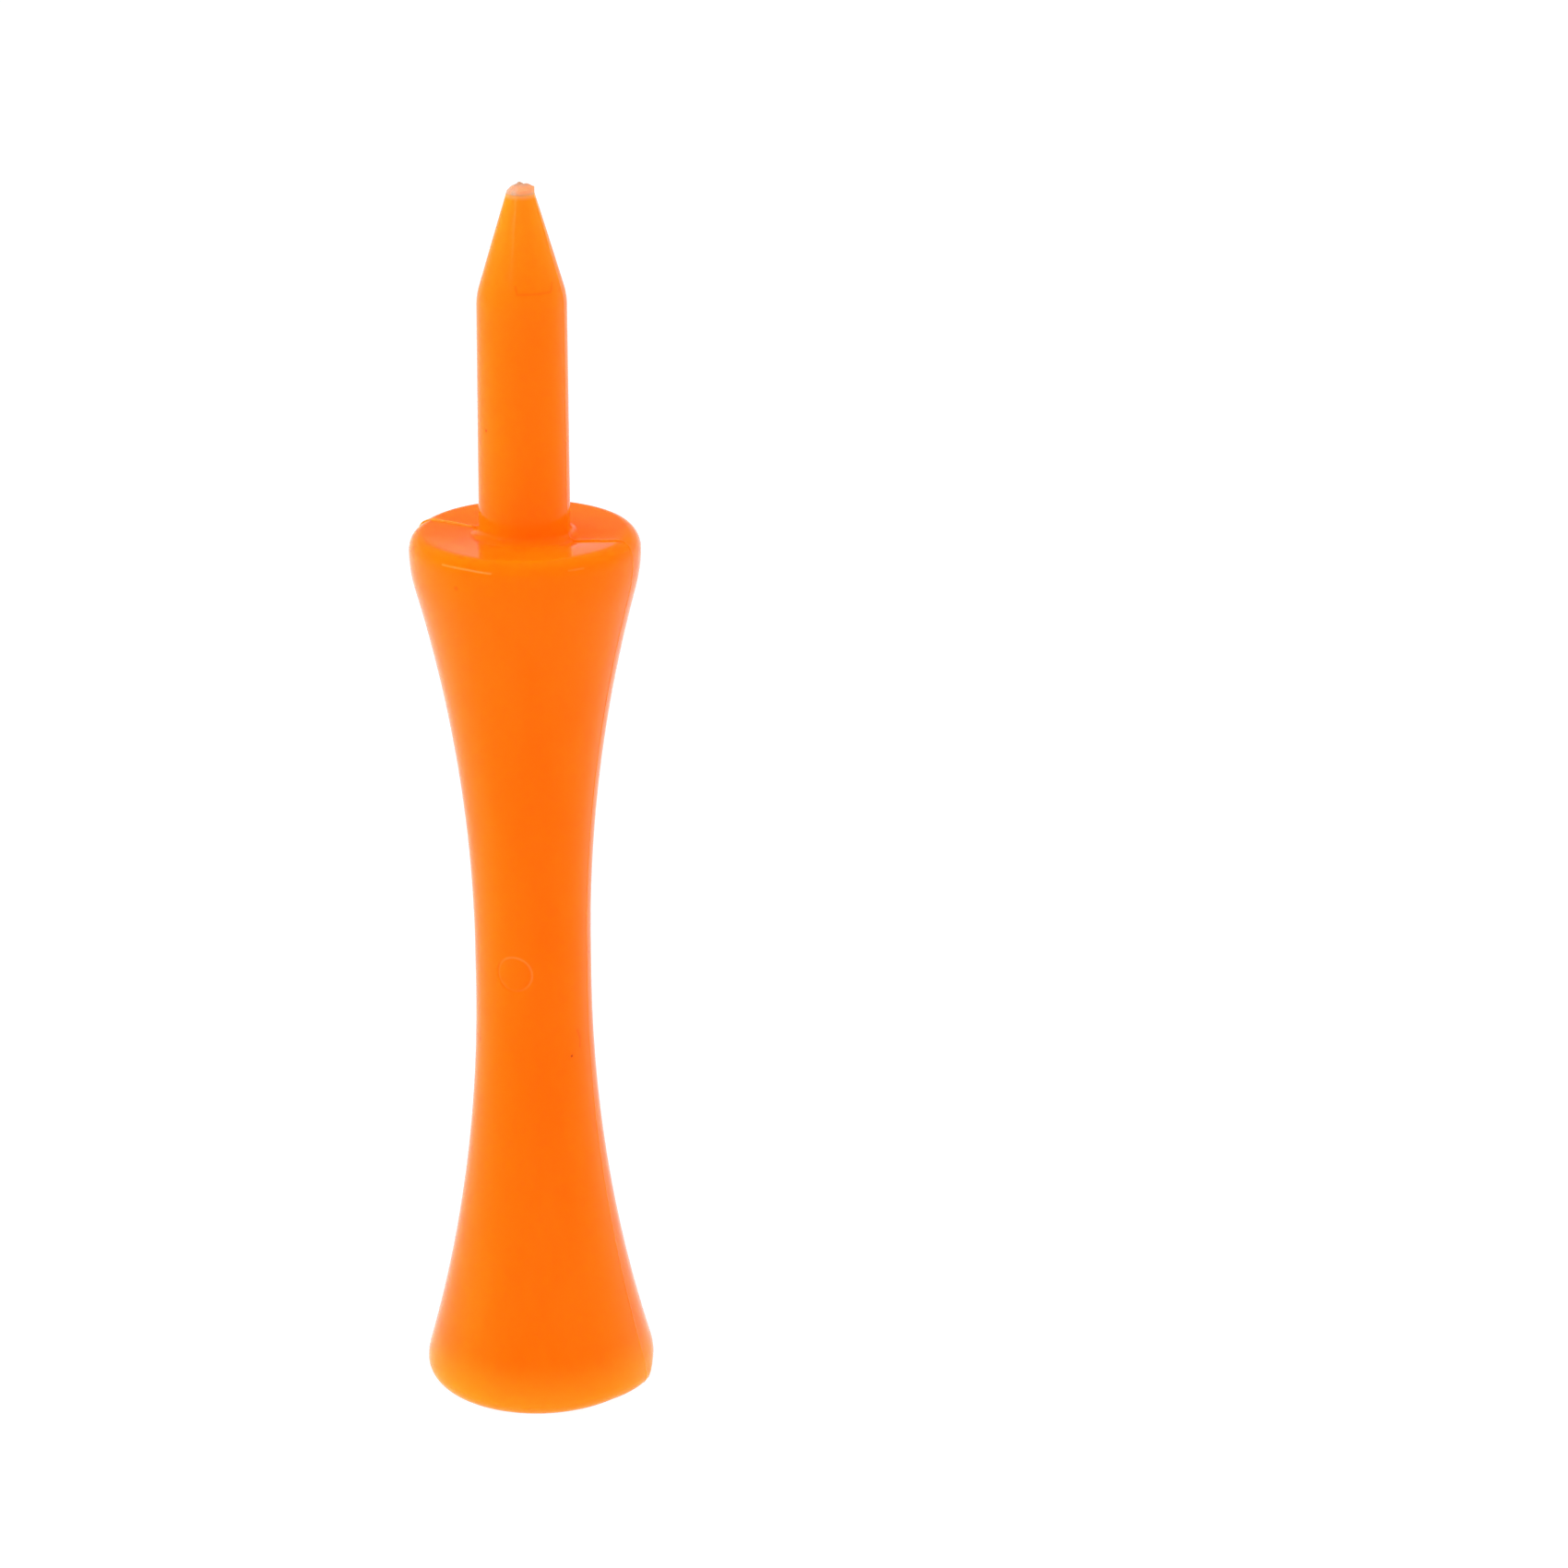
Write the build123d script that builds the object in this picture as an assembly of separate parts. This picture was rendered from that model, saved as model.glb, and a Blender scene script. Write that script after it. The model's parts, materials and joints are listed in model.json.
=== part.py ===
"""Step golf tee, injection moulded in one piece, standing on its cup rim.

Millimetres. +Z runs up the axis from the cup to the spike. The origin is the centre of the cup's
rim, in the plane that the tee stands on. The moulding is one turned shape: a spherical cup for the
ball, a waisted stem, a flat shoulder that stops the tee at a set height above the ground, and a
straight shank that ends in a cone. The cone ends in the torn stub of the mould's gate, which has a
node of its own because it is scrap that a trimmed tee doesn't have.
"""
import os
from math import atan2, cos, pi, sin, sqrt

from build123d import *

# Heights above the rim plane
overall_length = 69.85          # two and three quarter inches, torn gate included
gate_plane_height = 69.3        # where the clean cone ends and the torn gate begins
torn_face_height = 69.5
cone_base_height = 63.75
shoulder_height = 50.75
waist_height = 25.5             # middle of the plain band at the waist
waist_band_length = 2.0

# Radii of the turned shape
cup_end_radius = 6.5
shoulder_radius = 6.3
waist_radius = 3.25
shank_radius = 2.45
gate_plane_radius = 0.75
torn_face_radius = 0.69

# Roundings
cup_edge_round = 1.0            # outer edge of the rim
cup_flare_blend = 2.5           # convex blend from the flare into the cup end
shoulder_flare_blend = 8.0      # convex blend from the flare into the shoulder's edge
shoulder_edge_round = 1.1
shank_fillet = 0.5              # foot of the shank, on the shoulder

# Ball cup: a spherical dish much tighter than the ball, so that the ball seats on its mouth
cup_dish_radius = 7.0
cup_depth = 2.0
cup_mouth_round = 0.15

# Witness mark of the ejector pin, on the plain band at the waist
ejector_radius = 1.0
ejector_depth = 0.05
ejector_height = 25.9
ejector_azimuth = -106.0        # degrees about Z, from +X

# Torn gate: lumps left standing on the torn face, each (azimuth in degrees, distance out, height,
# foot radius). The tallest one reaches the overall length.
torn_lumps = [
    (115.0, 0.38, overall_length - torn_face_height, 0.17),
    (20.0, 0.42, 0.22, 0.16),
    (-40.0, 0.44, 0.14, 0.18),
    (-165.0, 0.40, 0.18, 0.20),
]
lump_tip_share = 0.35           # radius of a lump's top as a share of its foot
lump_sink = 0.08                # how far a lump's foot reaches below the torn face


def arc_points(centre, radius, start, end):
    """Start, middle and end of an arc about centre, angles in radians from the +radius direction."""
    angles = (start, (start + end) / 2, end)
    return [(centre[0] + radius * cos(a), centre[1] + radius * sin(a)) for a in angles]


def flare(band_end, edge_height, edge_radius, blend_radius):
    """The two tangent arcs of a flare: the concave sweep from the waist, then the convex blend.

    Both ends of the flare are upright, so the sweep and the blend turn by the same angle.
    """
    rise = edge_height - band_end
    side = 1 if rise > 0 else -1
    turn = 2 * atan2(edge_radius - waist_radius, abs(rise))
    sweep_radius = abs(rise) / sin(turn) - blend_radius
    sweep_centre = (waist_radius + sweep_radius, band_end)
    blend_centre = (edge_radius - blend_radius, edge_height)
    sweep = arc_points(sweep_centre, sweep_radius, pi, pi - side * turn)
    blend = arc_points(blend_centre, blend_radius, -side * turn, 0)
    return sweep, blend


def cup_arcs():
    """The dish, from the axis outwards, and the small round that turns its mouth into the rim."""
    dish_centre = (0, cup_depth - cup_dish_radius)
    drop = cup_mouth_round - dish_centre[1]
    reach = cup_dish_radius + cup_mouth_round
    round_centre = (sqrt(reach**2 - drop**2), cup_mouth_round)
    slope = atan2(drop, round_centre[0])
    dish = arc_points(dish_centre, cup_dish_radius, pi / 2, slope)
    mouth_edge = arc_points(round_centre, cup_mouth_round, pi + slope, 3 * pi / 2)
    return dish, mouth_edge


def half_outline():
    """Closed half outline of the moulding in the XZ plane, as (radius, height) edges."""
    band_low = waist_height - waist_band_length / 2
    band_high = waist_height + waist_band_length / 2
    edge_low = cup_edge_round
    edge_high = shoulder_height - shoulder_edge_round

    dish, mouth_edge = cup_arcs()
    rim_edge = arc_points((cup_end_radius - cup_edge_round, edge_low), cup_edge_round, -pi / 2, 0)
    low_sweep, low_blend = flare(band_low, edge_low, cup_end_radius, cup_flare_blend)
    high_sweep, high_blend = flare(band_high, edge_high, shoulder_radius, shoulder_flare_blend)
    shoulder_edge = arc_points(
        (shoulder_radius - shoulder_edge_round, edge_high), shoulder_edge_round, 0, pi / 2
    )
    foot = arc_points(
        (shank_radius + shank_fillet, shoulder_height + shank_fillet), shank_fillet, -pi / 2, -pi
    )

    low_flare = [low_blend[::-1], low_sweep[::-1]]
    high_flare = [high_sweep, high_blend]
    arcs = [dish, mouth_edge, rim_edge, *low_flare, *high_flare, shoulder_edge, foot]
    straights = [
        (mouth_edge[-1], rim_edge[0]),
        (low_sweep[0], high_sweep[0]),
        (shoulder_edge[-1], foot[0]),
        (foot[-1], (shank_radius, cone_base_height)),
        ((shank_radius, cone_base_height), (gate_plane_radius, gate_plane_height)),
        ((gate_plane_radius, gate_plane_height), (0, gate_plane_height)),
        ((0, gate_plane_height), (0, cup_depth)),
    ]
    return [ThreePointArc(*points) for points in arcs] + [Line(*ends) for ends in straights]


def tee_moulding():
    """The whole tee up to the gate plane."""
    with BuildPart() as tee:
        with BuildSketch(Plane.XZ) as section:
            with BuildLine():
                for edge in half_outline():
                    add(edge)
            make_face()
        revolve(axis=Axis.Z)
    return tee.part - ejector_recess()


def ejector_recess():
    """A shallow round recess that follows the waist's curve, cut square to the axis."""
    outside = Cylinder(waist_radius + 1, 2 * (waist_height + ejector_radius))
    core = Cylinder(waist_radius - ejector_depth, 2 * (waist_height + ejector_radius))
    pin = Cylinder(ejector_radius, waist_radius + 1, align=(Align.CENTER, Align.CENTER, Align.MIN))
    pin = Location((0, 0, ejector_height), (0, 90, 0)) * pin
    return Rotation(0, 0, ejector_azimuth) * (pin & (outside - core))


def gate_vestige():
    """The torn stub: a short frustum with a few ragged lumps on its torn face."""
    stub = Pos(0, 0, gate_plane_height) * Cone(
        gate_plane_radius,
        torn_face_radius,
        torn_face_height - gate_plane_height,
        align=(Align.CENTER, Align.CENTER, Align.MIN),
    )
    for azimuth, distance, height, foot_radius in torn_lumps:
        lump = Cone(
            foot_radius,
            foot_radius * lump_tip_share,
            height + lump_sink,
            align=(Align.CENTER, Align.CENTER, Align.MIN),
        )
        stub += Rotation(0, 0, azimuth) * Pos(distance, 0, torn_face_height - lump_sink) * lump
    return stub


os.makedirs("parts", exist_ok=True)
export_step(tee_moulding(), "parts/tee_moulding.step")
export_step(gate_vestige(), "parts/gate_vestige.step")
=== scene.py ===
"""Looks of the step golf tee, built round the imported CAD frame.

The object is one injection moulding in waxy orange plastic, with the torn stub of its gate left on
the point. Two finely turned meshes stand in for the two CAD nodes. They follow the same arcs and add
what the mould leaves on a real tee: the parting line, the ejector pin's witness mark, the dished
shoulder with its valley and step, flash on the cup's rim, and a spike that leans a little. Sizes are
in millimetres until a mesh is made, and azimuths are in degrees about +Z from +X.
"""
import json
from math import asin, atan2, cos, exp, hypot, pi, radians, sin, sqrt, tan

import bpy
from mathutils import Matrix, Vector, noise


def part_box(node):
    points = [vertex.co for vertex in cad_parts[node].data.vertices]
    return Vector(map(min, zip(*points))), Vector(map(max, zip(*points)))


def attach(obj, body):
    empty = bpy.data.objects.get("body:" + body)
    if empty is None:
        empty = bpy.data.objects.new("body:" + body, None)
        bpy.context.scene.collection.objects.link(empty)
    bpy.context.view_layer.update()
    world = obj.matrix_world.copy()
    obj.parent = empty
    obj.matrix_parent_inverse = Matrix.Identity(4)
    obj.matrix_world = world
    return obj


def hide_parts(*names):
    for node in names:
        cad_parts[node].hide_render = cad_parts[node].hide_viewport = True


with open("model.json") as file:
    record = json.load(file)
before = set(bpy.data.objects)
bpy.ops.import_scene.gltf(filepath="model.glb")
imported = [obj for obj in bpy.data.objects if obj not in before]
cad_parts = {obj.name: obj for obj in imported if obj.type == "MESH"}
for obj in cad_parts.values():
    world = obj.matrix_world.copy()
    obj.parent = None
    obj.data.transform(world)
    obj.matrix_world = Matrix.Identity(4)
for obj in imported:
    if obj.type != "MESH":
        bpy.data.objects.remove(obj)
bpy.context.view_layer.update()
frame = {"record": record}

MM = 0.001

# Sizes read from the frame
mounts = {mount["name"]: mount for mount in frame["record"]["mounts"]}
moulding_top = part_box("tee_moulding")[1] / MM
stub_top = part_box("gate_vestige")[1] / MM
cup_radius = moulding_top.x
gate_height = moulding_top.z
gate_radius = stub_top.x
overall_height = stub_top.z
shoulder_height = mounts["shoulder_seat"]["pos_m"][2] / MM
shank_radius = mounts["spike"]["dims"]["r_mm"]
shank_length = mounts["spike"]["dims"]["length_mm"]
cup_depth = mounts["ball_cup"]["pos_m"][2] / MM

# The rest of the turned outline
shank_fillet = 0.5
cone_base_height = shoulder_height + shank_fillet + shank_length
waist_height = 25.5
waist_band = 2.0
waist_radius = 3.25
shoulder_radius = 6.3
shoulder_round = 1.1
cup_round = 1.0
cup_blend = 2.5
shoulder_blend = 8.0
dish_radius = 7.0
mouth_round = 0.15
cone_base_blend = 3.0
foot_radius = shank_radius + shank_fillet
face_radius = shoulder_radius - shoulder_round
rim_face_radius = cup_radius - cup_round
slack = 0.01                    # two sizes this close are the same place on the outline
tiny = 0.001
centre_radius = 0.5             # nothing inside this radius carries a mark
fine_gap = 0.045                # between rings at the ejector mark
coarse_gap = 0.35               # and between rings elsewhere
widest_turn = radians(9)        # of an arc, between rings

# What the mould leaves
parting_azimuth = -20.0         # the mould opens square to the plane through this and the axis
parting_ridge = 0.025
parting_width = 0.05
shank_foot_swell = 0.04         # the shank has draft: thicker at the foot, thinner at the cone
shank_top_shrink = 0.03
spike_lean = 0.4                # degrees, towards +X
dish_drop = 0.15                # the shoulder's face is dished: sunk this much beside the shank
dished_radius = 5.3             # where the dish runs out
valley_drop = (0.18, 0.02)      # and sunk more along the parting line, at its near and its far end
valley_width = 1.3
valley_end_radius = 6.2
step_drop = 0.05                # the front half's face lies this much below the back half's
step_turn = 0.24                # degrees that the step between them takes
spike_fade_height = 3.0         # the foot's sinking has run out this far up the shank
front_edge_push = 0.35          # the face reaches further out than drawn, so its edge is less
back_edge_push = 0.22           # rounded: this much on the front half and on the back half
fin_azimuth = parting_azimuth + 179.4
fin_height = 0.04               # fins of flash at the far parting line: across the shoulder's face,
fin_reach = 0.11                # and out from its edge
fin_start = 1.5                 # the face's fin grows to its full height over this distance
pin_azimuth = -106.0
pin_height = 25.9
pin_radius = 1.0
pin_groove = 0.05
pin_groove_width = 0.06
pin_sink = 0.012
flash_azimuth = parting_azimuth + 6
flash_size = 0.28
flash_spread = (32.0, 12.0)     # degrees either side: towards the front, towards the back


# ---------------------------------------------------------------- camera

camera_place = (0.01405, -0.23912, 0.12436)     # metres
camera_tilt = 69.723                            # degrees up from looking straight down
camera_lens = 105.88                            # on a sensor 36 mm wide


def add_camera():
    """The photograph's viewing angle: a little above the tee, looking along +Y."""
    data = bpy.data.cameras.new("camera")
    data.sensor_width = 36.0
    data.lens = camera_lens
    camera = bpy.data.objects.new("camera", data)
    camera.location = camera_place
    camera.rotation_euler = (radians(camera_tilt), 0, 0)
    bpy.context.scene.collection.objects.link(camera)
    bpy.context.scene.camera = camera


add_camera()


# ---------------------------------------------------------------- outline

def ring_gap(height):
    """Distance between neighbouring rings: fine at the ejector mark, coarser elsewhere."""
    near_mark = abs(height - pin_height) < pin_radius + 3 * pin_groove_width
    return fine_gap if near_mark else coarse_gap


def arc(centre, radius, start, end):
    """Points along an arc in the outline's plane, angles in radians from the +radius direction."""
    way = 1 if end > start else -1
    points = []
    angle = start
    while way * (end - angle) > tiny:
        point = (centre[0] + radius * cos(angle), centre[1] + radius * sin(angle))
        points.append(point)
        angle += way * min(ring_gap(point[1]) / radius, widest_turn)
    points.append((centre[0] + radius * cos(end), centre[1] + radius * sin(end)))
    return points


def straight(start, end):
    """Points along a straight stretch of the outline."""
    length = hypot(end[0] - start[0], end[1] - start[1])
    points = []
    done = 0.0
    while done < length - tiny:
        share = done / length
        point = tuple(a + (b - a) * share for a, b in zip(start, end))
        points.append(point)
        done += ring_gap(point[1])
    points.append(end)
    return points


def flare(band_end, edge_height, edge_radius, blend_radius):
    """A flare from the waist outwards: the concave sweep, then the convex blend tangent to it."""
    rise = edge_height - band_end
    side = 1 if rise > 0 else -1
    turn = 2 * atan2(edge_radius - waist_radius, abs(rise))
    sweep_radius = abs(rise) / sin(turn) - blend_radius
    sweep = arc((waist_radius + sweep_radius, band_end), sweep_radius, pi, pi - side * turn)
    blend = arc((edge_radius - blend_radius, edge_height), blend_radius, -side * turn, 0)
    return sweep + blend[1:]


def spike():
    """The straight shank, the soft corner at its top and the cone, up to the gate plane."""
    taper = atan2(shank_radius - gate_radius, gate_height - cone_base_height)
    tangent = cone_base_blend * tan(taper / 2)
    blend_centre = (shank_radius - cone_base_blend, cone_base_height - tangent)
    blend = arc(blend_centre, cone_base_blend, 0, taper)
    shank = straight((shank_radius, shoulder_height + shank_fillet), blend[0])
    cone = straight(blend[-1], (gate_radius, gate_height))
    return shank[:-1] + blend + cone[1:]


def half_outline():
    """The turned outline as (radius, height), from the middle of the dish round to the gate."""
    dish_centre = (0, cup_depth - dish_radius)
    drop = mouth_round - dish_centre[1]
    mouth_centre = (sqrt((dish_radius + mouth_round) ** 2 - drop**2), mouth_round)
    slope = atan2(drop, mouth_centre[0])
    low_edge = cup_round
    high_edge = shoulder_height - shoulder_round
    low_band = waist_height - waist_band / 2
    high_band = waist_height + waist_band / 2
    foot_centre = (foot_radius, shoulder_height + shank_fillet)
    runs = [
        arc(dish_centre, dish_radius, pi / 2, slope),
        arc(mouth_centre, mouth_round, pi + slope, 3 * pi / 2),
        straight((mouth_centre[0], 0), (rim_face_radius, 0)),
        arc((rim_face_radius, low_edge), cup_round, -pi / 2, 0),
        flare(low_band, low_edge, cup_radius, cup_blend)[::-1],
        straight((waist_radius, low_band), (waist_radius, high_band)),
        flare(high_band, high_edge, shoulder_radius, shoulder_blend),
        arc((face_radius, high_edge), shoulder_round, 0, pi / 2),
        straight((face_radius, shoulder_height), (foot_radius, shoulder_height)),
        arc(foot_centre, shank_fillet, -pi / 2, -pi),
        spike(),
        straight((gate_radius, gate_height), (0, gate_height)),
    ]
    outline = [runs[0][0]]
    for run in runs:
        outline += run[1:]
    return outline


# ---------------------------------------------------------------- what the mould leaves

def clamp(value):
    return min(1.0, max(0.0, value))


def smooth(value):
    value = clamp(value)
    return value * value * (3 - 2 * value)


def turned(azimuth, start):
    """Degrees from start to azimuth, the short way."""
    return (azimuth - start + 180) % 360 - 180


def off_parting(azimuth):
    """Degrees from the nearer parting line, and which half: +1 on the camera's side, -1 behind."""
    near = turned(azimuth, parting_azimuth)
    far = turned(azimuth, parting_azimuth + 180)
    half = 1 if near < 0 else -1
    return min(abs(near), abs(far)), half


def ring_azimuths():
    """Where the lathe's columns stand: even all round, and close at the lines and the mark."""
    even_step = 3.75
    columns = {round(step * even_step, 2) % 360 for step in range(round(360 / even_step))}
    for line in (parting_azimuth, parting_azimuth + 180):
        for offset in (0.12, 0.3, 0.6, 1.0, 1.6, 2.4):
            columns.add(round(line + offset, 2) % 360)
            columns.add(round(line - offset, 2) % 360)
    mark_step = 0.75
    mark_reach = 26
    for step in range(-mark_reach, mark_reach + 1):
        columns.add(round(pin_azimuth + step * mark_step, 2) % 360)
    closest = 0.1
    kept = []
    for azimuth in sorted(columns):
        if not kept or azimuth - kept[-1] >= closest:
            kept.append(azimuth)
    return kept


def ridge_at(radius, azimuth):
    """Height of the witness line where the two mould halves met."""
    offset, _ = off_parting(azimuth)
    across = radius * radians(offset)
    return parting_ridge * exp(-((across / parting_width) ** 2))


def ejector_mark(radius, height, azimuth):
    """How far the ejector pin's mark is sunk: a thin ring with a barely lower middle."""
    across = radius * radians(turned(azimuth, pin_azimuth))
    distance = hypot(across, height - pin_height)
    ring = pin_groove * exp(-(((distance - pin_radius) / pin_groove_width) ** 2))
    return ring + pin_sink * smooth((pin_radius - distance) / pin_groove_width)


def front_share(azimuth):
    """1 on the mould's front half, 0 on its back half, with a steep change between them."""
    offset, half = off_parting(azimuth)
    return clamp(0.5 + half * offset / step_turn)


def shoulder_drop(radius, height, azimuth):
    """How far the shoulder's face is sunk: dished, with a valley along the parting line."""
    dish = dish_drop * clamp((dished_radius - radius) / (dished_radius - foot_radius))
    near, far = valley_drop
    along = cos(radians(turned(azimuth, parting_azimuth)))
    across = radius * abs(sin(radians(turned(azimuth, parting_azimuth))))
    deepest = far + (near - far) * smooth(0.5 + along / 2)
    inward = clamp((valley_end_radius - radius) / (valley_end_radius - foot_radius))
    valley = deepest * inward * exp(-((across / valley_width) ** 2))
    edge = clamp((height - shoulder_height + shoulder_round) / shoulder_round)
    spike_fade = 1 - clamp((height - shoulder_height - shank_fillet) / spike_fade_height)
    return (dish + valley + step_drop * front_share(azimuth)) * edge * spike_fade


def edge_push(radius, azimuth):
    """How far the shoulder's face and its outer round are pushed outwards."""
    if radius < face_radius:
        share = smooth((radius - foot_radius) / (face_radius - foot_radius))
    else:
        share = (shoulder_radius - radius) / shoulder_round
    _, half = off_parting(azimuth)
    off_line = abs(sin(radians(turned(azimuth, parting_azimuth))))
    front = smooth(3 * off_line) if half > 0 else 0.0
    return (back_edge_push + (front_edge_push - back_edge_push) * front) * share


def fin(radius, azimuth, run, width):
    """Share of a fin of flash at the far parting line, which starts and ends with run."""
    across = radius * radians(turned(azimuth, fin_azimuth))
    return smooth(run) * exp(-((across / width) ** 2))


def rim_flash(height, azimuth):
    """Flash that squares off the cup's lower edge beside the parting line, out and down alike."""
    angle = turned(azimuth, flash_azimuth)
    spread = flash_spread[0] if angle < 0 else flash_spread[1]
    peak = clamp(1 - abs(angle) / spread)
    level = clamp(height / cup_round)
    fill = sin(pi * clamp(asin(clamp(1 - level)) / (pi / 2)))
    return flash_size * peak * fill / sqrt(2)


def spike_draft(radius, height):
    """Change of radius along the spike."""
    if height < shoulder_height or radius > foot_radius + tiny:
        return 0.0
    if height < cone_base_height:
        up = (height - shoulder_height) / (cone_base_height - shoulder_height)
        return shank_foot_swell * (1 - up) - shank_top_shrink * up
    up = (height - cone_base_height) / (gate_height - cone_base_height)
    return -shank_top_shrink * (1 - up) * (1 - up)


def lean(height):
    """Sideways shift of the spike, which is not quite in line with the stem."""
    return tan(radians(spike_lean)) * max(0.0, height - shoulder_height)


def moulded_point(radius, height, azimuth):
    """Where a point of the turned outline ends up on the real moulding."""
    outer = radius > centre_radius and height < gate_height - slack
    underside = height < cup_depth and radius < rim_face_radius - slack
    on_rim_round = height < cup_round and radius >= rim_face_radius - slack
    on_face = abs(height - shoulder_height) < slack and radius < face_radius + slack
    edge_rise = height - (shoulder_height - 2 * shoulder_round)
    on_edge = 0 < edge_rise < 2 * shoulder_round - slack
    out = radius
    up = height
    if outer and not underside and not on_face:
        out += ridge_at(radius, azimuth) - ejector_mark(radius, height, azimuth)
        out += spike_draft(radius, height)
    if on_rim_round:
        fill = rim_flash(height, azimuth)
        out += fill
        up -= min(fill, up)
    if on_face:
        up += ridge_at(radius, azimuth)
        run = (radius - foot_radius) / fin_start
        up += fin_height * fin(radius, azimuth, run, parting_width)
    if on_edge:
        rise = edge_rise / shoulder_round
        run = min(rise, 1) * min(1, (2 - rise) * 4)
        out += fin_reach * fin(radius, azimuth, run, 3 * parting_width)
    if height > shoulder_height - shoulder_round and radius < shoulder_radius + slack:
        up -= shoulder_drop(radius, height, azimuth)
        if height < shoulder_height + slack:
            out += edge_push(radius, azimuth)
    angle = radians(azimuth)
    return (out * cos(angle) + lean(height), out * sin(angle), up)


# ---------------------------------------------------------------- meshes

def lathe(name, outline, columns, place):
    """Turns an outline that starts and ends on the axis, moving each point by place()."""
    points = []
    rings = []
    for radius, height in outline:
        if radius < tiny:
            rings.append([len(points)] * len(columns))
            points.append(place(0.0, height, 0.0))
        else:
            rings.append(range(len(points), len(points) + len(columns)))
            points += [place(radius, height, azimuth) for azimuth in columns]
    faces = []
    for low, high in zip(rings, rings[1:]):
        for here in range(len(columns)):
            after = (here + 1) % len(columns)
            corners = [low[here], low[after], high[after], high[here]]
            faces.append(list(dict.fromkeys(corners)))
    mesh = bpy.data.meshes.new(name)
    mesh.from_pydata([Vector(point) * MM for point in points], [], faces)
    mesh.validate()
    mesh.polygons.foreach_set("use_smooth", [True] * len(mesh.polygons))
    piece = bpy.data.objects.new(name, mesh)
    bpy.context.scene.collection.objects.link(piece)
    return piece


def add_moulding():
    """The tee itself, from the cup to the gate plane."""
    piece = lathe("tee_body", half_outline(), ring_azimuths(), moulded_point)
    piece.data.materials.append(orange_plastic())
    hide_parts("tee_moulding")
    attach(piece, "root")


torn_height = gate_height + 0.2
torn_radius = gate_radius - 0.05
# Lumps left standing on the torn face: (azimuth, distance out, height, width)
torn_lumps = [
    (105.0, 0.30, 0.14, 0.16),
    (20.0, 0.40, 0.07, 0.14),
    (-40.0, 0.36, 0.05, 0.16),
    (175.0, 0.36, 0.08, 0.20),
]
torn_crown = 0.22               # how far the torn face rises from its edge to its middle
torn_tilt = 0.08                # and how far it falls towards -X
torn_grain = [                  # roughness of the torn face: (fineness, depth, place in the noise)
    (7, 0.035, (3, 1, 2)),
    (19, 0.018, (1, 5, 4)),
]
torn_edge_start = 0.5           # the edge's raggedness begins at this radius
ragged_depth = 0.03
burr_azimuth = 5.0
burr_spread = 16.0
burr_reach = 0.04
burr_height = 0.03


def torn_point(radius, height, azimuth):
    """The stub's ragged surface: a clean side that breaks up into a torn, lumpy top."""
    angle = radians(azimuth)
    x, y = radius * cos(angle), radius * sin(angle)
    torn = clamp((height - gate_height) / (torn_height - gate_height))
    up = height + torn * torn_crown * (1 - (radius / torn_radius) ** 2)
    up += torn * torn_tilt * x / torn_radius
    for lump_azimuth, distance, size, width in torn_lumps:
        lump = radians(lump_azimuth)
        away = hypot(x - distance * cos(lump), y - distance * sin(lump))
        up += torn * size * exp(-((away / width) ** 2))
    for fineness, depth, place in torn_grain:
        up += torn * depth * noise.noise(Vector((x, y, 0)) * fineness + Vector(place))
    edge = torn * clamp((radius - torn_edge_start) / (torn_radius - torn_edge_start))
    burr = edge * exp(-((turned(azimuth, burr_azimuth) / burr_spread) ** 2))
    ragged = edge * ragged_depth * noise.noise(Vector((cos(angle) * 4, sin(angle) * 4, 7)))
    out = radius + ragged + burr_reach * burr
    up = min(up + burr_height * burr, overall_height)
    return (out * cos(angle) + lean(up), out * sin(angle), up)


def straight_run(start, end, steps):
    """Points that part a straight stretch of the outline into equal steps."""
    return [
        tuple(a + (b - a) * step / steps for a, b in zip(start, end))
        for step in range(steps + 1)
    ]


def add_stub():
    """The torn end of the gate, sunk a little into the moulding's flat top."""
    sunk = gate_height - 0.02
    side_steps = 6
    top_steps = 14
    column_count = 72
    side = straight_run((gate_radius, gate_height), (torn_radius, torn_height), side_steps)
    top = straight_run((torn_radius, torn_height), (0.0, torn_height), top_steps)
    outline = [(0.0, sunk), (gate_radius - slack, sunk)] + side + top[1:]
    columns = [step * 360 / column_count for step in range(column_count)]
    piece = lathe("torn_gate", outline, columns, torn_point)
    piece.data.materials.append(torn_plastic())
    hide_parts("gate_vestige")
    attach(piece, "root")


# ---------------------------------------------------------------- materials

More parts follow.
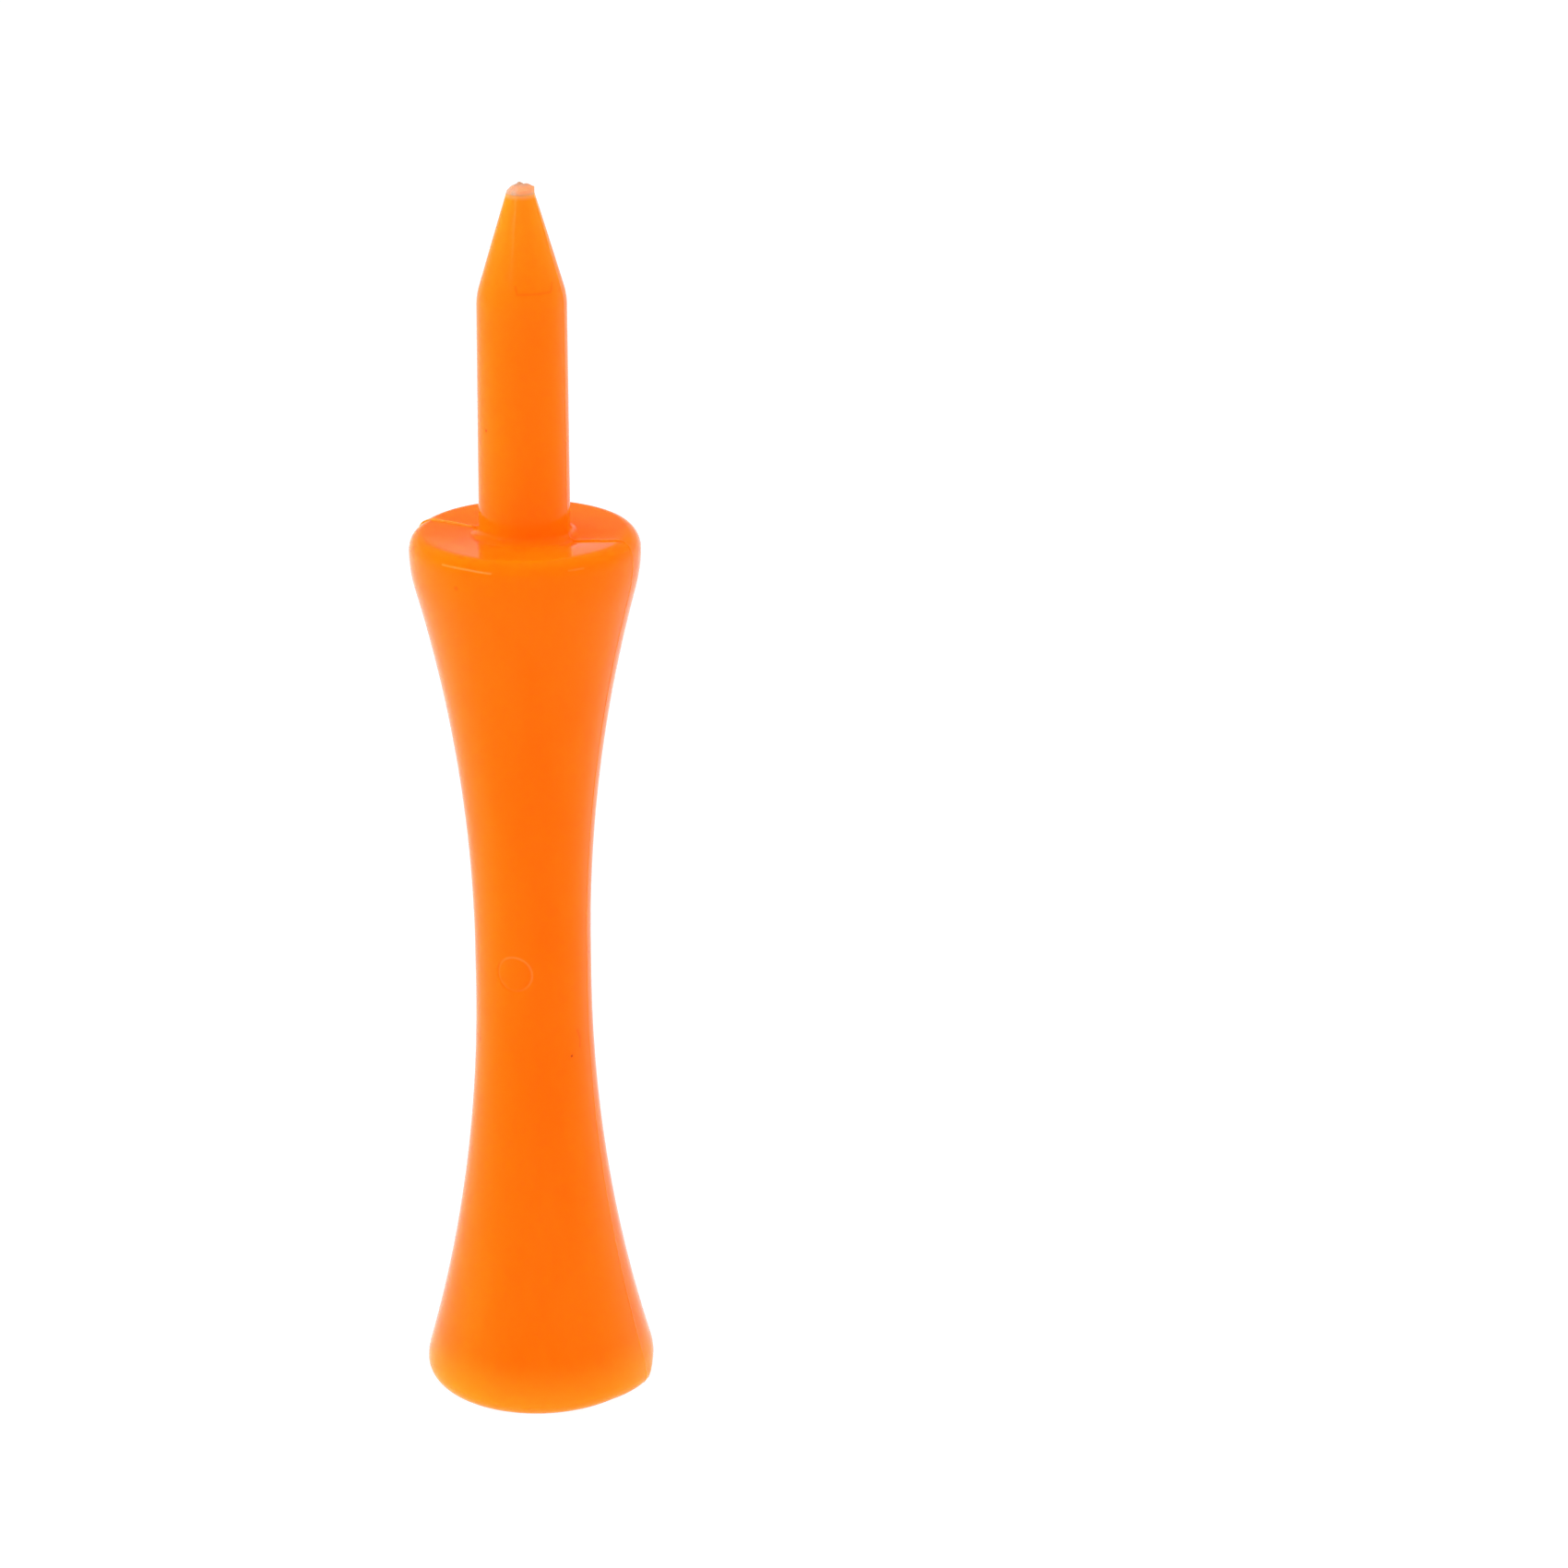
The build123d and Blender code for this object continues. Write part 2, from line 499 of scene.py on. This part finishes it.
class Nodes:
    """A material's node tree with short calls for the nodes used here."""

    def __init__(self, name):
        self.material = bpy.data.materials.new(name)
        self.material.use_nodes = True
        self.tree = self.material.node_tree
        self.shader = self.tree.nodes["Principled BSDF"]
        coordinates = self.tree.nodes.new("ShaderNodeTexCoord")
        self.position = coordinates.outputs["Object"]

    def link(self, value, socket):
        """Joins an output to a socket, or sets the socket to a plain value."""
        if isinstance(value, bpy.types.NodeSocket):
            self.tree.links.new(value, socket)
        else:
            socket.default_value = value

    def math(self, operation, first, second=0.0, clamped=False):
        node = self.tree.nodes.new("ShaderNodeMath")
        node.operation = operation
        node.use_clamp = clamped
        for value, socket in zip((first, second), node.inputs):
            self.link(value, socket)
        return node.outputs[0]

    def vector(self, operation, first, second=(0, 0, 0), output=0):
        node = self.tree.nodes.new("ShaderNodeVectorMath")
        node.operation = operation
        self.link(first, node.inputs[0])
        self.link(second, node.inputs[1])
        return node.outputs[output]

    def remap(self, value, low, high, start=0.0, end=1.0):
        """Start at low and end at high, held beyond them."""
        node = self.tree.nodes.new("ShaderNodeMapRange")
        node.interpolation_type = "SMOOTHSTEP"
        self.link(value, node.inputs["Value"])
        for name, number in zip(("From Min", "From Max", "To Min", "To Max"), (low, high, start, end)):
            self.link(number, node.inputs[name])
        return node.outputs["Result"]

    def mix(self, share, first, second):
        node = self.tree.nodes.new("ShaderNodeMix")
        node.data_type = "RGBA"
        self.link(share, node.inputs["Factor"])
        self.link(first, node.inputs[6])
        self.link(second, node.inputs[7])
        return node.outputs[2]

    def noise(self, feature_size, detail=2.0, roughness=0.5, stretch=(1, 1, 1)):
        """Noise with features of the given size in mm, stretched along the axes."""
        node = self.tree.nodes.new("ShaderNodeTexNoise")
        scaled = self.vector("MULTIPLY", self.position, stretch)
        self.link(scaled, node.inputs["Vector"])
        node.inputs["Scale"].default_value = 1 / (feature_size * MM)
        node.inputs["Detail"].default_value = detail
        node.inputs["Roughness"].default_value = roughness
        return node.outputs["Fac"]

    def rise(self, span, start, end):
        """Start below the span's lower height in mm and end above its upper one."""
        node = self.tree.nodes.new("ShaderNodeSeparateXYZ")
        self.link(self.position, node.inputs[0])
        low, high = span
        return self.remap(node.outputs["Z"], low * MM, high * MM, start, end)

    def bump(self, value, depth, normal=None):
        """A bump whose full range is depth millimetres."""
        node = self.tree.nodes.new("ShaderNodeBump")
        node.inputs["Distance"].default_value = depth * MM
        self.link(value, node.inputs["Height"])
        if normal is not None:
            self.link(normal, node.inputs["Normal"])
        return node.outputs["Normal"]

    def unrolled(self, radius):
        """The surface laid flat: (distance round the axis at this radius, height), in metres."""
        split = self.tree.nodes.new("ShaderNodeSeparateXYZ")
        self.link(self.position, split.inputs[0])
        angle = self.math("ARCTAN2", split.outputs["Y"], split.outputs["X"])
        flat = self.tree.nodes.new("ShaderNodeCombineXYZ")
        self.link(self.math("MULTIPLY", angle, radius * MM), flat.inputs["X"])
        self.link(split.outputs["Z"], flat.inputs["Z"])
        return flat.outputs[0]

    def spot(self, centre, radius):
        """1 within radius mm of a point in metres, fading out over half as much again."""
        distance = self.vector("DISTANCE", self.position, centre, output=1)
        return self.remap(distance, radius * MM, 1.5 * radius * MM, 1.0, 0.0)

    def line(self, marks, radius, width):
        """1 along a line through (azimuth, height) marks on a part of this radius, width in mm."""
        flat = self.unrolled(radius)
        corners = [Vector((radians(a) * radius, 0, height)) * MM for a, height in marks]
        return self.highest([
            self.stroke(flat, start, end, width) for start, end in zip(corners, corners[1:])
        ])

    def stroke(self, flat, start, end, width):
        """1 along the straight line between two unrolled points in metres."""
        along = end - start
        from_start = self.vector("SUBTRACT", flat, start)
        reach = self.vector("DOT_PRODUCT", from_start, along, output=1)
        share = self.math("DIVIDE", reach, along.length_squared, clamped=True)
        node = self.tree.nodes.new("ShaderNodeVectorMath")
        node.operation = "SCALE"
        node.inputs[0].default_value = along
        self.link(share, node.inputs["Scale"])
        away = self.vector("DISTANCE", from_start, node.outputs[0], output=1)
        return self.remap(away, width * MM * 0.4, width * MM, 1.0, 0.0)

    def highest(self, values):
        result = values[0]
        for value in values[1:]:
            result = self.math("MAXIMUM", result, value)
        return result


def on_surface(azimuth, height, outline):
    """The point of the moulding at this azimuth and height, in metres."""
    outside = [point for point in outline if point[0] > centre_radius]
    radius = min(outside, key=lambda point: abs(point[1] - height) - 0.01 * point[0])[0]
    return Vector(moulded_point(radius, height, azimuth)) * MM


# Dirt in the plastic: (azimuth, height, radius)
dark_specks = [
    (-49.0, 20.73, 0.07),
    (-13.0, 26.31, 0.07),
    (-140.6, 56.70, 0.06),
]
faint_specks = [
    (-153.7, 21.34, 0.10),
    (-122.8, 49.06, 0.10),
]

# Fine lines, as (azimuth, height) corners: dark ones low on the cone and under the waist, then
# painted highlights along the shoulder's front edge, lighter lines that stand in for light caught
# there
hair_line = [(-93.0, 64.72), (-90.5, 64.32), (-42.0, 64.30), (-36.0, 64.75)]
faint_line = [(-40.4, 22.14), (-37.0, 21.60), (-37.7, 21.09)]
edge_highlight_line = [(-132.1, 50.17), (-117.0, 50.18), (-104.0, 50.11)]
edge_highlight_line_end = [(-65.0, 50.16), (-56.8, 50.15)]
seam_highlight_run = (5.7, 3.2)           # a painted highlight along the far parting line, on the face between these radii

ORANGE = (0.95, 0.150, 0.0012, 1)
DEEP_ORANGE = (0.93, 0.144, 0.0010, 1)
PALE_ORANGE = (0.96, 0.158, 0.0016, 1)
# painted glow colour, for light shining through thin plastic
PAINTED_GLOW_ORANGE = (1.0, 0.265, 0.010, 1)
STRESSED = (0.85, 0.36, 0.16, 1)
DIRT = (0.50, 0.04, 0.003, 1)
# lighter colour painted where the plastic should catch light: a painted highlight
PAINTED_HIGHLIGHT = (1.0, 0.27, 0.045, 1)
TORN_ORANGE = (0.85, 0.27, 0.08, 1)
TORN_PALE = (0.52, 0.30, 0.21, 1)
TORN_DULL = (0.33, 0.22, 0.16, 1)
TORN_FIBRE = (0.75, 0.50, 0.36, 1)

# Heights over which the plastic's colour, its painted glow and its depth change
rim_glow_top = 3.6
shank_glow_span = (shoulder_height - 0.75, shoulder_height + 9.25)
tip_glow_span = (cone_base_height - 1.75, overall_height + 0.65)
clear_span = (cone_base_height - 2.75, cone_base_height + 3.25)
stress_span = (gate_height - 0.3, gate_height)
torn_dull_span = (torn_height + 0.10, torn_height + 0.30)


def pin_ring_highlight(nodes):
    """A painted highlight on the edge of the ejector pin's mark, strongest on its upper right side."""
    centre = Vector((radians(pin_azimuth) * waist_radius, 0, pin_height)) * MM
    from_centre = nodes.vector("SUBTRACT", nodes.unrolled(waist_radius), centre)
    distance = nodes.vector("LENGTH", from_centre, output=1)
    off_ring = nodes.math("ABSOLUTE", nodes.math("SUBTRACT", distance, pin_radius * MM))
    ring = nodes.remap(off_ring, pin_groove_width / 2 * MM, 1.5 * pin_groove_width * MM, 1.0, 0.0)
    rightward = nodes.vector("DOT_PRODUCT", from_centre, (0.7, 0, 0.7), output=1)
    return nodes.math("MULTIPLY", ring, nodes.remap(rightward, -0.9 * MM, 0.6 * MM, 0.05, 0.5))


def plain_orange(nodes):
    """The plastic's own colour with flow streaks and a whitened tip, plus a painted glow where it is
    thin.
    """
    clouds = nodes.noise(5.0, 3.0, 0.55, stretch=(1, 1, 0.35))
    streaks = nodes.noise(0.8, 2.0, 0.6, stretch=(1, 1, 0.12))
    colour = nodes.mix(nodes.remap(clouds, 0.35, 0.65), DEEP_ORANGE, PALE_ORANGE)
    colour = nodes.mix(nodes.remap(streaks, 0.45, 0.8, 0.0, 0.35), colour, ORANGE)

    # Painted glow: strongest at the cup's rim, slight up the shank and growing towards the tip. It
    # stands in for light shining through the thin plastic and, at the rim, light from the bright
    # floor.
    rim_glow = nodes.rise((0.0, rim_glow_top), 1.0, 0.0)
    shank_glow = nodes.rise(shank_glow_span, 0.0, 0.10)
    tip_glow = nodes.rise(tip_glow_span, 0.0, 0.55)
    glow = nodes.highest([rim_glow, nodes.math("ADD", shank_glow, tip_glow)])
    colour = nodes.mix(glow, colour, PAINTED_GLOW_ORANGE)
    return nodes.mix(nodes.rise(stress_span, 0.0, 0.55), colour, STRESSED)


def seam_highlight(nodes):
    """A painted highlight along the far parting line where it crosses the shoulder's face."""
    ends = [
        Vector(moulded_point(radius, shoulder_height, parting_azimuth + 180)) * MM
        for radius in seam_highlight_run
    ]
    return nodes.stroke(nodes.position, *ends, 0.12)


def add_dirt_and_highlights(nodes, colour):
    """Paints the dirt specks and the dark lines over a colour, and the painted highlights: the ejector
    ring's edge, lines on the shoulder's front edge and the far seam.
    """
    outline = half_outline()
    dark = [nodes.spot(on_surface(a, h, outline), size) for a, h, size in dark_specks]
    faint = [nodes.spot(on_surface(a, h, outline), size) for a, h, size in faint_specks]
    faint.append(nodes.line(faint_line, waist_radius, 0.08))
    marks = [                   # (where, strength, colour)
        (nodes.highest(dark), 0.8, DIRT),
        (nodes.line(hair_line, shank_radius, 0.09), 0.2, DIRT),
        (nodes.highest(faint), 0.3, DIRT),
        # painted highlights: lighter lines standing in for light caught on edges
        (pin_ring_highlight(nodes), 1.0, PAINTED_HIGHLIGHT),
        (nodes.line(edge_highlight_line, shoulder_radius, 0.07), 0.5, PAINTED_HIGHLIGHT),
        (nodes.line(edge_highlight_line_end, shoulder_radius, 0.07), 0.25, PAINTED_HIGHLIGHT),
        (seam_highlight(nodes), 0.6, PAINTED_HIGHLIGHT),
    ]
    for mask, strength, paint in marks:
        colour = nodes.mix(nodes.math("MULTIPLY", mask, strength), colour, paint)
    return colour


def orange_plastic():
    """Waxy, faintly translucent plastic with flow streaks, dirt specks, dark fine lines, painted
    highlights and a painted glow.
    """
    nodes = Nodes("orange_plastic")
    colour = add_dirt_and_highlights(nodes, plain_orange(nodes))
    satin = nodes.remap(nodes.noise(1.6, 4.0, 0.6), 0.3, 0.7, 0.07, 0.13)
    waviness = nodes.bump(nodes.noise(2.4, 1.0, 0.5), 0.012)
    normal = nodes.bump(nodes.noise(0.12, 2.0, 0.6), 0.0012, waviness)
    depth = nodes.rise(clear_span, 2.2 * MM, 0.9 * MM)

    shader = nodes.shader
    nodes.link(colour, shader.inputs["Base Color"])
    nodes.link(satin, shader.inputs["Roughness"])
    nodes.link(normal, shader.inputs["Normal"])
    nodes.link(depth, shader.inputs["Subsurface Scale"])
    shader.inputs["IOR"].default_value = 1.5
    shader.inputs["Specular IOR Level"].default_value = 0.11
    shader.inputs["Specular Tint"].default_value = (1.0, 0.58, 0.30, 1)
    shader.inputs["Subsurface Weight"].default_value = 0.85
    shader.inputs["Subsurface Radius"].default_value = (1.0, 0.55, 0.10)
    return nodes.material


def torn_plastic():
    """Plastic whitened and roughened where it was torn from the runner, most of all towards -X."""
    nodes = Nodes("torn_plastic")
    patches = nodes.noise(0.35, 3.0, 0.6)
    fibres = nodes.noise(0.09, 3.0, 0.7, stretch=(1, 1, 0.4))
    side = nodes.vector("DOT_PRODUCT", nodes.position, (1, 0, 0), output=1)
    leftward = nodes.remap(side, -0.35 * MM, 0.25 * MM, 0.85, 0.15)
    blotchy = nodes.math("MULTIPLY", leftward, nodes.remap(patches, 0.3, 0.6, 0.5, 1.2))
    colour = nodes.mix(blotchy, TORN_ORANGE, TORN_PALE)
    colour = nodes.mix(nodes.rise(torn_dull_span, 0.0, 0.75), colour, TORN_DULL)
    colour = nodes.mix(nodes.remap(fibres, 0.5, 0.75, 0.0, 0.25), colour, TORN_FIBRE)
    rough = nodes.remap(fibres, 0.3, 0.7, 0.45, 0.75)
    normal = nodes.bump(fibres, 0.03)

    shader = nodes.shader
    nodes.link(colour, shader.inputs["Base Color"])
    nodes.link(rough, shader.inputs["Roughness"])
    nodes.link(normal, shader.inputs["Normal"])
    shader.inputs["Subsurface Weight"].default_value = 0.6
    shader.inputs["Subsurface Radius"].default_value = (1.0, 0.5, 0.3)
    shader.inputs["Subsurface Scale"].default_value = 0.4 * MM
    return nodes.material


# ---------------------------------------------------------------- studio

floor_half_width = 6.0          # metres
floor_gap = 0.02                # millimetres between the floor and the tee's rim
light_aim = (0, 0, 0.035)       # the middle of the tee, in metres
light_distance = 0.45           # metres from there
tent_edge = (13, 17)            # degrees above the horizon between which the tent dims
tent_strength = (0.65, 0.28)    # below that edge and above it


def add_floor():
    """A plain white table top, bright enough to leave no edge or shadow."""
    mesh = bpy.data.meshes.new("floor")
    half = floor_half_width
    corners = [(-half, -half, 0), (half, -half, 0), (half, half, 0), (-half, half, 0)]
    mesh.from_pydata(corners, [], [(0, 1, 2, 3)])
    floor = bpy.data.objects.new("floor", mesh)
    floor.location.z = -floor_gap * MM
    bpy.context.scene.collection.objects.link(floor)
    nodes = Nodes("floor_white")
    nodes.link((0.12, 0.12, 0.12, 1), nodes.shader.inputs["Base Color"])
    nodes.link(0.9, nodes.shader.inputs["Roughness"])
    nodes.link(0.0, nodes.shader.inputs["Specular IOR Level"])
    nodes.link((1, 1, 1, 1), nodes.shader.inputs["Emission Color"])
    nodes.link(0.95, nodes.shader.inputs["Emission Strength"])
    mesh.materials.append(nodes.material)


def add_softbox(name, azimuth, elevation, width, height, power, mirrored=False):
    """An area light aimed at the middle of the tee, seen from there at azimuth and elevation.

    Only a mirrored light leaves a highlight on the gloss; the others are hidden from it.
    """
    data = bpy.data.lights.new(name, "AREA")
    data.shape = "RECTANGLE"
    data.size = width
    data.size_y = height
    data.energy = power
    light = bpy.data.objects.new(name, data)
    a, e = radians(azimuth), radians(elevation)
    towards = Vector((cos(a) * cos(e), sin(a) * cos(e), sin(e)))
    light.location = Vector(light_aim) + towards * light_distance
    light.rotation_euler = towards.to_track_quat("Z", "Y").to_euler()
    light.visible_glossy = mirrored
    bpy.context.scene.collection.objects.link(light)


def add_world():
    """A light tent: white low down, dimmer overhead."""
    world = bpy.data.worlds.new("tent")
    world.use_nodes = True
    tree = world.node_tree
    coordinates = tree.nodes.new("ShaderNodeTexCoord")
    split = tree.nodes.new("ShaderNodeSeparateXYZ")
    ramp = tree.nodes.new("ShaderNodeMapRange")
    tree.links.new(coordinates.outputs["Generated"], split.inputs[0])
    tree.links.new(split.outputs["Z"], ramp.inputs["Value"])
    ramp.interpolation_type = "SMOOTHSTEP"
    ramp.inputs["From Min"].default_value = sin(radians(tent_edge[0]))
    ramp.inputs["From Max"].default_value = sin(radians(tent_edge[1]))
    ramp.inputs["To Min"].default_value = tent_strength[0]
    ramp.inputs["To Max"].default_value = tent_strength[1]
    background = tree.nodes["Background"]
    background.inputs["Color"].default_value = (1, 1, 1, 1)
    tree.links.new(ramp.outputs["Result"], background.inputs["Strength"])
    bpy.context.scene.world = world


def add_studio():
    panel = 0.50
    strip = 0.012
    add_floor()
    add_world()
    add_softbox("left_panel", -178, 14, width=panel, height=panel, power=2.2)
    add_softbox("right_panel", 2, 14, width=panel, height=panel, power=1.4)
    add_softbox("front_fill", -90, 35, width=panel, height=panel, power=0.7)
    add_softbox("overhead_front", -90, 80, width=panel, height=panel, power=0.5)
    add_softbox("overhead_back", 90, 72, width=panel, height=panel, power=1.4)
    add_softbox("left_strip", -140, 25, width=0.34, height=strip, power=0.40, mirrored=True)
    add_softbox("right_strip", -31, 25, width=0.10, height=strip, power=0.05, mirrored=True)
    view = bpy.context.scene.view_settings
    view.view_transform = "Standard"
    view.look = "None"
    view.exposure = 0.0
    view.gamma = 1.0


add_moulding()
add_stub()
add_studio()
